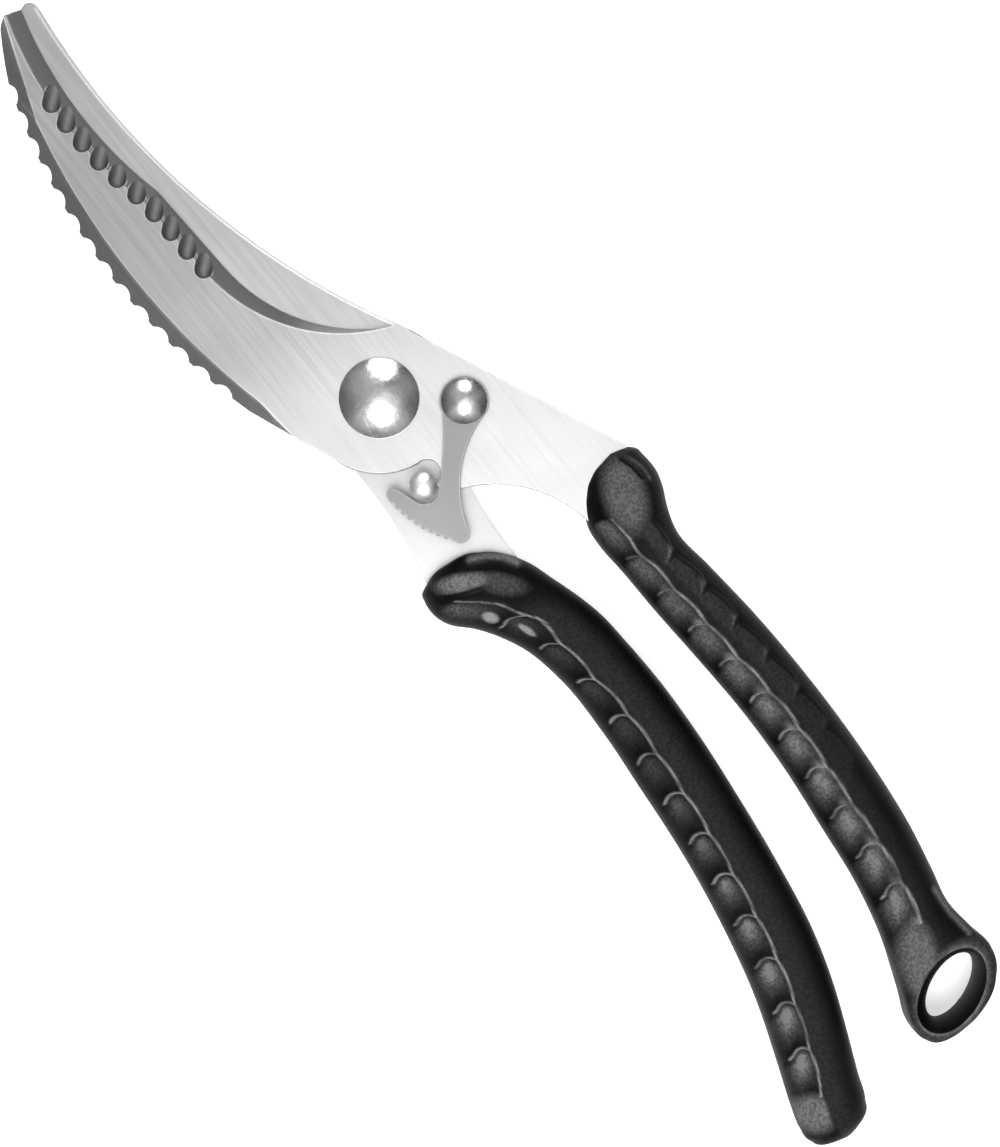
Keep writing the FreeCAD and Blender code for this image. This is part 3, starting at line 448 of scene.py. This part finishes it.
def scoops(s, u, width, first, pitch, count, ridge, slant, even=0.0, web=0.0):
    """How deep the thumb scoops are cut, how much painted glint their rims get, partly wear, and
    how much painted sheen their floors get.

    s runs along the grip and u across it from its left side, both as arrays; first is the place
    of the first arc's highest point, and ridge gives the ridge line's share of the width at
    some places along the grip.  The scoop before the first arc starts with the ridge.  Towards
    the grip's end the arcs' left ends come forward by the slant's share of their length.  Even
    is how far the painted sheen of the floors reaches towards the scoops' sides, from 0 to 1,
    and web how much painted glint lies in the corners where the arcs meet the ridge."""
    across = u * width
    crest = np.interp(s, *ridge) * width
    inward = np.clip(crest - across, 0.0, 1.75 * ARC_APEX)
    lead = ARC_LEAD * (1.0 - ((inward - ARC_APEX) / ARC_APEX) ** 2)
    lead += slant * inward * smooth_step((s - 40.0) / 60.0)
    place = (s - first - ARC_LEAD + lead) / pitch
    place = np.where(place < 0.0, place * pitch / (first - ridge[0][0]), place)
    number = np.floor(place)
    along = place - number
    held = (number >= -1) & (number < count)
    line = crest + RIDGE_WAVE * np.sin(math.pi * along) * (number >= 0)
    step = smooth_step(along * pitch / STEP_WIDTH)
    side = smooth_step((line - across) / STEP_WIDTH)
    shore = smooth_step((across - 0.5) / 2.8)
    depth = SCOOP_DEPTH * step * (1.0 - along) ** 0.8 * side * shore * held
    # Painted glint, partly wear: along the arcs, along the ridge and in the corners between them.
    to_arc = np.minimum(along, 1.0 - along) * pitch
    reach = smooth_step((across - 1.5) / 0.8) * (across < line + 0.1)
    reach *= smooth_step((5.2 - crest + across) / 0.8)
    arc = np.exp(-(to_arc / RUBBED_GLINT_HALF) ** 2) * reach * (place > -0.5) * (place < count - 0.5)
    ridge_line = np.exp(-((across - line - 0.10) / RUBBED_GLINT_HALF) ** 2) * held * (s > ridge[0][0])
    # Painted sheen on the scoops' floors.
    middle = (across - 0.58 * line) / ((0.30 + 0.14 * even) * line + 0.1)
    floor = np.exp(-middle ** 2) * smooth_step(along / 0.18)
    floor *= smooth_step((0.95 + 0.20 * even - along) / (0.75 - 0.25 * even))
    corner = np.exp(-(to_arc / 1.3) ** 2 - ((line - across - 0.8) / 0.9) ** 2)
    corner *= web * held * (across < line + 0.1) * (s > first + 1.0)
    return depth, np.maximum.reduce([arc, ridge_line, corner]), floor * held


def crown(s, u, width, ridge, low, high):
    """1 on a grip's crown, where a faint painted sheen goes: from the ridge to the low share of
    the width, fading to 0 at the high one."""
    line = np.interp(s, *ridge) * width
    return (smooth_step(u * width - line - 0.3) * smooth_step((high - u) / (high - low))
            * smooth_step((s - 14.0) / 8.0))


def facets(s, u, width, first, pitch, count, border):
    """A second, faint row of scales between the ridge and a border: how deep the grip is cut
    beyond the border, and how much painted sheen the scales' corners and the scales get."""
    across = u * width
    crest = np.interp(s, *border) * width
    place = (s - first) / pitch
    number = np.floor(place)
    along = place - number
    held = (number >= 0) & (number < count)
    fade = np.clip(1.0 - number / count, 0.0, 1.0)
    line = crest + 0.7 * np.sin(math.pi * along) - 1.5 * smooth_step((along - 0.8) / 0.2)
    low = smooth_step((across - line) / 0.7) * smooth_step((width - across) / 1.5)
    corner = np.exp(-((across - line + 0.5) / 0.55) ** 2 - ((along - 0.84) / 0.16) ** 2)
    scale = smooth_step((line - across) / 0.7) * smooth_step((across - 0.46 * width) / 1.5)
    return FACET_DEPTH * low * held * fade, corner * held * fade, scale * held * fade ** 0.5


def patch(points, centre, half, turn):
    """1 in the middle of a soft oval in plan, and 0 outside it and on the grip's sides; turn is
    the direction of its long axis in degrees."""
    away = points[:, :, :2] - centre
    turn = math.radians(turn)
    long_way = np.array([math.cos(turn), math.sin(turn)])
    short_way = np.array([-long_way[1], long_way[0]])
    reach = np.hypot(away @ long_way / half[0], away @ short_way / half[1])
    return smooth_step((1.0 - reach) / 0.6) * smooth_step((np.abs(points[:, :, 2]) - 0.5) / 3.5)


def stroke(points, route, width):
    """1 on a polyline in plan, falling off smoothly over a width beside it."""
    plan = points[:, :, :2]
    nearest = np.full(plan.shape[:2], np.inf)
    for start, end in zip(route, route[1:]):
        start, way = np.array(start), np.array(end) - np.array(start)
        share = np.clip((plan - start) @ way / (way @ way), 0.0, 1.0)
        nearest = np.minimum(nearest, np.linalg.norm(plan - start - share[..., None] * way, axis=2))
    return np.exp(-(nearest / width) ** 2)


def grip_mesh(grip, detail):
    """A grip's rings of surface points, with its moulded detail cut into top and bottom alike:
    their s and t, the points, and how much painted glint, partly wear, and how much painted
    sheen each has."""
    share = np.linspace(0.0, 1.0, GRIP_RINGS + 2)[1:-1]
    ring = grip.length * (share - RING_BUNCHING * np.sin(2 * math.pi * share))
    turn = 2.0 * math.pi * np.arange(GRIP_COLUMNS) / GRIP_COLUMNS
    s, t = np.meshgrid(ring, turn, indexing="ij")
    points = grip.place(s, t)
    along = np.gradient(points, axis=0)
    around = np.roll(points, -1, axis=1) - np.roll(points, 1, axis=1)
    normal = np.cross(along, around)
    normal /= np.maximum(np.linalg.norm(normal, axis=2, keepdims=True), 1e-9)
    left, right = grip.edges(ring)
    width = np.hypot(*(left - right).T)[:, None] * np.ones_like(t)
    reach = np.linalg.norm(points[:, :, :2] - left[:, None, :], axis=2)
    u = reach / np.maximum(width, 1e-6)
    depth, rubbed_and_glint, greyed_and_sheen = detail(points, s, u, width)
    body = np.linalg.norm(points - points.mean(axis=1, keepdims=True), axis=2)
    depth = np.minimum(depth, body * 0.5)
    return s, t, points - normal * depth[:, :, None], rubbed_and_glint, greyed_and_sheen


def on_hole(plan, grow, shift=0.0):
    """Plan points pushed straight from the hole's centre onto its edge, grown by a margin and
    shifted towards the waist's place; also how far out each one was, 1 on the hole's edge."""
    long_way = np.array([math.cos(HOLE_TURN), math.sin(HOLE_TURN)])
    short_way = np.array([-long_way[1], long_way[0]])
    away = plan - HOLE_AT
    scaled = np.stack([away @ long_way / (HOLE_LONG + grow),
                       away @ short_way / (HOLE_SHORT + grow)], axis=-1)
    reach = np.linalg.norm(scaled, axis=-1)
    scaled = scaled / np.maximum(reach, 1e-9)[..., None]
    edge = (HOLE_AT + shift * WAIST_SHIFT + scaled[..., :1] * (HOLE_LONG + grow) * long_way
            + scaled[..., 1:] * (HOLE_SHORT + grow) * short_way)
    return edge, reach


def fit_to_hole(grip, s, t, target):
    """Move surface points along the surface until their plan position is on the target."""
    step = 1e-3
    for _ in range(3):
        here = grip.place(s, t)[:, :2]
        by_s = (grip.place(s + step, t)[:, :2] - here) / step
        by_t = (grip.place(s, t + step)[:, :2] - here) / step
        miss = target - here
        size = by_s[:, 0] * by_t[:, 1] - by_s[:, 1] * by_t[:, 0]
        s = s + (miss[:, 0] * by_t[:, 1] - miss[:, 1] * by_t[:, 0]) / size
        t = t + (by_s[:, 0] * miss[:, 1] - by_s[:, 1] * miss[:, 0]) / size
    return grip.place(s, t)


def open_hole(grip, s, t, points, faces):
    """Cut the hanging hole through a grip's rings and line it with a rounded wall: the points,
    the faces and the numbers of the points on the hole's two rims."""
    rings, columns = s.shape
    flat = points.reshape(-1, 3)
    inside = on_hole(flat[:, :2], RIM_ROUND)[1] < 1.0
    inside &= np.abs(np.sin(t.ravel())) > 0.02
    kept = faces[~inside[faces].any(axis=1)]
    lost = faces[inside[faces].any(axis=1)]
    # A dictionary, because it keeps the edges in order.
    edges = {(a, b): True for face in lost.tolist() for a, b in zip(face, face[1:] + face[:1])}
    rim = [(b, a) for a, b in edges if (b, a) not in edges]
    top = t.ravel() < math.pi
    corners = sorted({a for edge in rim for a in edge if top[a]})
    mirror = {a: (a // columns) * columns + (columns - a % columns) % columns for a in corners}
    number = np.array(corners)
    target = on_hole(flat[number][:, :2], RIM_ROUND)[0]
    fitted = fit_to_hole(grip, s.ravel()[number], t.ravel()[number], target)
    flat = flat.copy()
    flat[number] = fitted
    flat[[mirror[a] for a in corners]] = fitted * [1.0, 1.0, -1.0]

    # Each row of the wall: how far it stands out from the hole's edge, how far below the face
    # it is, with None on the waist, and its share of the height.
    wall = []
    for angle in (30.0, 60.0, 90.0):
        turn = math.radians(angle)
        wall.append((RIM_ROUND * (1.0 - math.sin(turn)), RIM_ROUND * (1.0 - math.cos(turn)), 1.0))
    for share in (0.88, 0.75, 0.6, 0.45, 0.3, 0.15):
        wall.append((-HOLE_WAIST * (1.0 - share ** 2), None, share))
    wall.append((-HOLE_WAIST, None, 0.0))
    wall += [(grow, drop, -share) for grow, drop, share in reversed(wall[:-1])]
    rows = [number]
    added = []
    for grow, drop, share in wall:
        plan = on_hole(fitted[:, :2], grow, 0.0 if drop is not None else 1.0 - share ** 2)[0]
        lowered = fitted[:, 2] - (RIM_ROUND if drop is None else drop)
        rows.append(len(flat) + sum(map(len, added)) + np.arange(len(number)))
        added.append(np.column_stack([plan, lowered * share]))
    rows.append(np.array([mirror[a] for a in corners]))
    order = {a: k for k, a in enumerate(corners)}
    strips = [(rows[k][order[a]], rows[k][order[b]], rows[k + 1][order[b]], rows[k + 1][order[a]])
              for a, b in rim if a in order and b in order for k in range(len(rows) - 1)]
    rim = np.concatenate([rows[0], rows[1], rows[2], rows[-3], rows[-2], rows[-1]])
    return np.vstack([flat, *added]), kept.tolist() + [tuple(map(int, f)) for f in strips], rim


def ring_faces(rings, columns):
    """Quads between neighbouring rings."""
    index = np.arange(rings * columns).reshape(rings, columns)
    beside = np.roll(index, -1, axis=1)
    return np.stack([index[:-1], index[1:], beside[1:], beside[:-1]], axis=-1).reshape(-1, 4)


def end_caps(points):
    """One vertex at each end of a tube of rings, and the triangles that close the ends."""
    rings, columns = points.shape[:2]
    poles = np.stack([points[0].mean(axis=0), points[-1].mean(axis=0)])
    first = rings * columns
    last_ring = first - columns
    faces = []
    for k in range(columns):
        beside = (k + 1) % columns
        faces.append((first, k, beside))
        faces.append((first + 1, last_ring + beside, last_ring + k))
    return poles, faces


def rear_detail(points, s, u, width):
    """Twelve scoops; a nose with a crease, a cut step and a painted highlight on its lip and
    facet; two painted glints in the first scoops; a faint painted sheen on the crown; a plain
    lighter patch at the end."""
    depth, rubbed_and_glint, floor = scoops(s, u, width, first=18.3, pitch=8.42, count=12,
                                  ridge=REAR_RIDGE, slant=0.32)
    first_pad = (s < FIRST_PAD_END) * smooth_step((s - 5.0) / 3.0)
    depth *= np.where(s < FIRST_PAD_END, 0.75, 1.0)
    # The lip and the facet are painted highlights only; the nose's step and crease are cut.
    lip = stroke(points, [(-32.7, 5.3), (-34.1, 2.5), (-36.1, 0.3), (-38.4, -0.9)], 0.6)
    crease = stroke(points, [(-35.1, 13.4), (-36.8, 9.9), (-38.0, 6.6)], 0.36)
    facet = patch(points, (-35.3, 8.9), (6.6, 2.4), 61.0)
    trail = patch(points, (-39.6, 3.6), (6.2, 2.6), 40.0)
    nose_step = stroke(points, [(-33.7, 7.6), (-34.9, 4.6), (-37.2, 1.9), (-40.0, 0.2)], 0.6)
    depth = depth + CREASE_DEPTH * crease + NOSE_STEP_DEPTH * nose_step
    sparks = np.maximum(patch(points, (-43.1, 9.0), (1.9, 1.2), 37.0),
                        patch(points, (-48.9, 5.5), (2.3, 0.8), 21.0))
    later = smooth_step((s - 50.0) / 60.0)
    end = patch(points, (-147.7, 19.0), (5.2, 4.6), 35.0)
    end *= smooth_step((np.interp(s, *REAR_RIDGE) - u) * width + 1.3)
    # Painted sheen and highlights: the scoops' floors, brighter in the later scoops, the facet, the
    # trail, the lip, the glints and the crown; and a lighter patch at the end.
    greyed_and_sheen = np.maximum.reduce([
        (0.20 * floor + (0.55 * floor + 1.10 * floor ** 4) * later) * (1.0 - first_pad),
        0.45 * floor * first_pad, 0.08 * crown(s, u, width, REAR_RIDGE, 0.60, 0.90),
        0.80 * facet * (1.0 - crease), 0.26 * trail, 0.95 * lip,
        sparks, 0.72 * end])
    return depth, np.maximum(rubbed_and_glint, 0.9 * sparks), greyed_and_sheen


def front_detail(points, s, u, width):
    """Ten scoops and a second row of scales; a head with a crease and a painted sheen; a lighter
    loop.
    """
    depth, rubbed_and_glint, floor = scoops(s, u, width, first=18.1, pitch=8.22, count=10,
                                  ridge=FRONT_RIDGE, slant=0.12, even=0.45, web=0.6)
    row, corner, scale = facets(s, u, width, first=14.6, pitch=8.22, count=7,
                                border=FRONT_BORDER)
    crease = stroke(points, [(-35.2, -26.8), (-37.6, -27.6), (-40.4, -27.8)], 0.38)
    beside = stroke(points, [(-36.4, -28.2), (-39.0, -28.9), (-41.5, -28.6)], 0.35)
    depth = depth + row + FRONT_CREASE_DEPTH * crease
    head = patch(points, (-40.9, -23.3), (9.4, 5.0), 158.0) * (1.0 - crease)
    rim = smooth_step((1.35 - on_hole(points[:, :, :2], 0.0)[1]) / 0.35) * (s > LOOP_FROM)
    end = patch(points, (-137.6, -12.4), (9.4, 5.0), 150.0)
    outside = stroke(points, [(-130.0, -22.6), (-135.0, -22.2), (-140.0, -22.6)], 0.45) * (u > 0.8)
    # Painted sheen: the scoops' floors, the head, the scales and their corners and the crown;
    # lighter beside the crease, at the end, round the loop and along its outside.
    greyed_and_sheen = np.maximum.reduce([
        0.50 * floor + 0.62 * floor ** 4 * smooth_step((s - 25.0) / 60.0), 0.52 * head,
        0.50 * corner, 0.14 * scale, 0.05 * crown(s, u, width, FRONT_RIDGE, 0.60, 0.84),
        0.28 * beside, 0.62 * end, 0.35 * rim, 0.5 * outside])
    return depth, rubbed_and_glint, greyed_and_sheen


def finish_grip(name, points, faces, shades, body, node):
    """Make the mesh, flatten it where it lies on the table and store its painted glint and painted
    sheen.
    """
    used = np.unique(np.concatenate([np.asarray(face) for face in faces]))
    number = np.full(len(points), -1)
    number[used] = np.arange(len(used))
    placed = in_frame(points[used])
    placed[:, 2] = np.maximum(placed[:, 2], 0.0)
    faces = [[int(number[corner]) for corner in face] for face in faces]
    piece = mesh_piece(name, placed, faces, body, PLASTIC, node)
    for title, shade in shades.items():
        attribute = piece.data.attributes.new(title, "FLOAT", "POINT")
        attribute.data.foreach_set("value", shade[used].astype(np.float32))
    return piece


def padded_to(values, count):
    """A flat array of values with zeros after them up to a count."""
    return np.concatenate([values.ravel(), np.zeros(count - values.size)])


def rear_grip():
    grip = Grip(REAR_OUTLINE, nose=(0.5, 8.5), tail=(0.35, 7.0), flat_from=math.inf)
    _, _, points, rubbed_and_glint, greyed_and_sheen = grip_mesh(grip, rear_detail)
    poles, caps = end_caps(points)
    faces = ring_faces(*points.shape[:2]).tolist() + caps
    everything = np.vstack([points.reshape(-1, 3), poles])
    shades = {"rubbed_and_glint": padded_to(rubbed_and_glint, len(everything)),
              "greyed_and_sheen": padded_to(greyed_and_sheen, len(everything))}
    finish_grip("rear_grip_moulding", everything, faces, shades, "rear_half", "rear_grip")


def front_grip():
    grip = Grip(FRONT_OUTLINE, nose=(0.5, 8.5), tail=(0.4, 2.6), flat_from=100.0)
    s, t, points, rubbed_and_glint, greyed_and_sheen = grip_mesh(grip, front_detail)
    poles, caps = end_caps(points)
    everything, faces, rim = open_hole(grip, s, t, points, ring_faces(*points.shape[:2]))
    first = points.shape[0] * points.shape[1]
    shift = len(everything) - first
    caps = [[corner + shift if corner >= first else corner for corner in face] for face in caps]
    everything = np.vstack([everything, poles])
    shades = {"rubbed_and_glint": padded_to(rubbed_and_glint, len(everything)),
              "greyed_and_sheen": padded_to(greyed_and_sheen, len(everything))}
    # A painted glint, partly wear, round the hole's rims.
    shades["rubbed_and_glint"][rim] = 0.7
    finish_grip("front_grip_moulding", everything, faces + caps, shades, "front_half",
                "front_grip")


# ----------------------------------------------------------------------------- the spring
RING_START = (0.35, 0.2, 0.9)
COIL_STEPS, LEG_STEPS = 96, 6


def tube(path, radius, sides=14):
    """A closed tube along a path of points, in the path's own units.  The path never runs along
    the direction that its rings start from."""
    path = np.asarray(path, float)
    forward = np.gradient(path, axis=0)
    forward /= np.linalg.norm(forward, axis=1, keepdims=True)
    side = np.cross(forward, RING_START)
    side /= np.linalg.norm(side, axis=1, keepdims=True)
    other = np.cross(forward, side)
    turn = 2.0 * math.pi * np.arange(sides) / sides
    rings = (path[:, None, :] + radius * (np.cos(turn)[None, :, None] * side[:, None, :]
             + np.sin(turn)[None, :, None] * other[:, None, :]))
    faces = ring_faces(len(path), sides).tolist()
    faces.append(list(range(sides))[::-1])
    faces.append([(len(path) - 1) * sides + k for k in range(sides)])
    return rings.reshape(-1, 3), faces


def torsion_spring():
    """The coil between the blades, with a leg in each of them."""
    wire, mean, pitch, turns = 1.0, 4.7, 1.12, 2.1
    start = math.radians(25.0)
    low = -pitch * turns / 2.0
    leg = 1.6
    path = [(mean * math.cos(start), mean * math.sin(start), low - leg * (1 - k / LEG_STEPS))
            for k in range(LEG_STEPS)]
    for step in range(COIL_STEPS + 1):
        share = step / COIL_STEPS
        angle = start + 2.0 * math.pi * turns * share
        path.append((mean * math.cos(angle), mean * math.sin(angle), low + pitch * turns * share))
    x, y, z = path[-1]
    path += [(x, y, z + leg * (k + 1) / LEG_STEPS) for k in range(LEG_STEPS)]
    vertices, faces = tube(path, wire / 2.0)
    piece = mesh_piece("torsion_spring_coil", in_frame(vertices), faces, None,
                       SPRING_STEEL, "torsion_spring")
    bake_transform(piece)


# ----------------------------------------------------------------------------- stage and camera
VIEW_TURN = math.radians(-128.6)
VIEW_CENTRE = Vector((-0.0079, 0.0061, PIVOT[2]))
VIEW_DISTANCE = 0.48
VIEW_HEIGHT = 0.20646            # how much of the blades' plane the picture's long side takes in
FLOOR_HALF = 8.0
FLOOR_DROP = 0.0001
FLOOR_GLOW = 0.42
LAMP_DISTANCE = 0.9


def camera():
    """Straight down on the blades, turned so that they point to the upper left."""
    data = bpy.data.cameras.new("camera")
    data.sensor_width = 36.0
    data.lens = data.sensor_width * VIEW_DISTANCE / VIEW_HEIGHT
    data.clip_start, data.clip_end = 0.01, 50.0
    shot = bpy.data.objects.new("camera", data)
    shot.location = VIEW_CENTRE + Vector((0.0, 0.0, VIEW_DISTANCE))
    shot.rotation_euler = (0.0, 0.0, VIEW_TURN)
    bpy.context.scene.collection.objects.link(shot)
    bpy.context.scene.camera = shot


def floor():
    """A plain pale tabletop that glows a little, so that it stays white."""
    material, tree, shader = new_material("pale_floor")
    place = add(tree, "TexCoord").outputs["Object"]
    mottle = ramped(tree, noise(tree, place, 14.0, 3.0), 0.3, 0.7, 0.93, 0.95)
    tone = add(tree, "CombineColor", [(0, mottle), (1, mottle), (2, mottle)]).outputs[0]
    tree.links.new(tone, shader.inputs["Base Color"])
    shader.inputs["Roughness"].default_value = 0.9
    shader.inputs["Specular IOR Level"].default_value = 0.1
    shader.inputs["Emission Color"].default_value = grey(1.0)
    shader.inputs["Emission Strength"].default_value = FLOOR_GLOW
    half = FLOOR_HALF
    mesh = bpy.data.meshes.new("floor")
    mesh.from_pydata([(-half, -half, 0), (half, -half, 0), (half, half, 0), (-half, half, 0)], [],
                     [(0, 1, 2, 3)])
    mesh.materials.append(material)
    ground = bpy.data.objects.new("floor", mesh)
    ground.location.z = -FLOOR_DROP
    bpy.context.scene.collection.objects.link(ground)


def sky():
    """Bright overhead and dim near the horizon; brighter over the grips than over the tips, and
    dimmer again far out to every side."""
    world = bpy.data.worlds.new("studio")
    bpy.context.scene.world = world
    world.use_nodes = True
    tree = world.node_tree
    direction = add(tree, "TexCoord").outputs["Generated"]
    parts = add(tree, "SeparateXYZ", [(0, direction)]).outputs
    dome = ramped(tree, parts["Z"], 0.30, 0.85, 0.40, 1.0)
    along = ramped(tree, parts["X"], -0.02, 0.22, 1.44, 0.60)
    along = maths(tree, "MULTIPLY", along, ramped(tree, parts["X"], -0.60, -0.15, 0.50, 1.0))
    across = maths(tree, "MULTIPLY", ramped(tree, parts["Y"], -0.50, -0.05, 0.30, 1.0),
                   ramped(tree, parts["Y"], 0.12, 0.60, 1.0, 0.50))
    level = maths(tree, "MULTIPLY", maths(tree, "MULTIPLY", dome, along), across)
    tree.links.new(level, tree.nodes["Background"].inputs["Strength"])
    tree.nodes["Background"].inputs["Color"].default_value = (1.0, 1.0, 1.0, 1.0)


def softbox(name, towards, size, power):
    """A round lamp that looks at the middle of the shears from a direction."""
    data = bpy.data.lights.new(name, "AREA")
    data.shape = "DISK"
    data.size = size
    data.energy = power
    lamp = bpy.data.objects.new(name, data)
    direction = Vector(towards).normalized()
    lamp.location = VIEW_CENTRE + direction * LAMP_DISTANCE
    lamp.rotation_euler = direction.to_track_quat("Z", "Y").to_euler()
    bpy.context.scene.collection.objects.link(lamp)


def lights():
    sky()
    softbox("key", (-0.30, 0.24, 0.92), 0.50, 3.6)
    softbox("far_side", (0.60, -0.50, 0.62), 0.55, 2.8)
    view = bpy.context.scene.view_settings
    view.view_transform = "Standard"
    view.exposure = 0.45


dress_cad_nodes()
rear_grip()
front_grip()
torsion_spring()
floor()
camera()
lights()
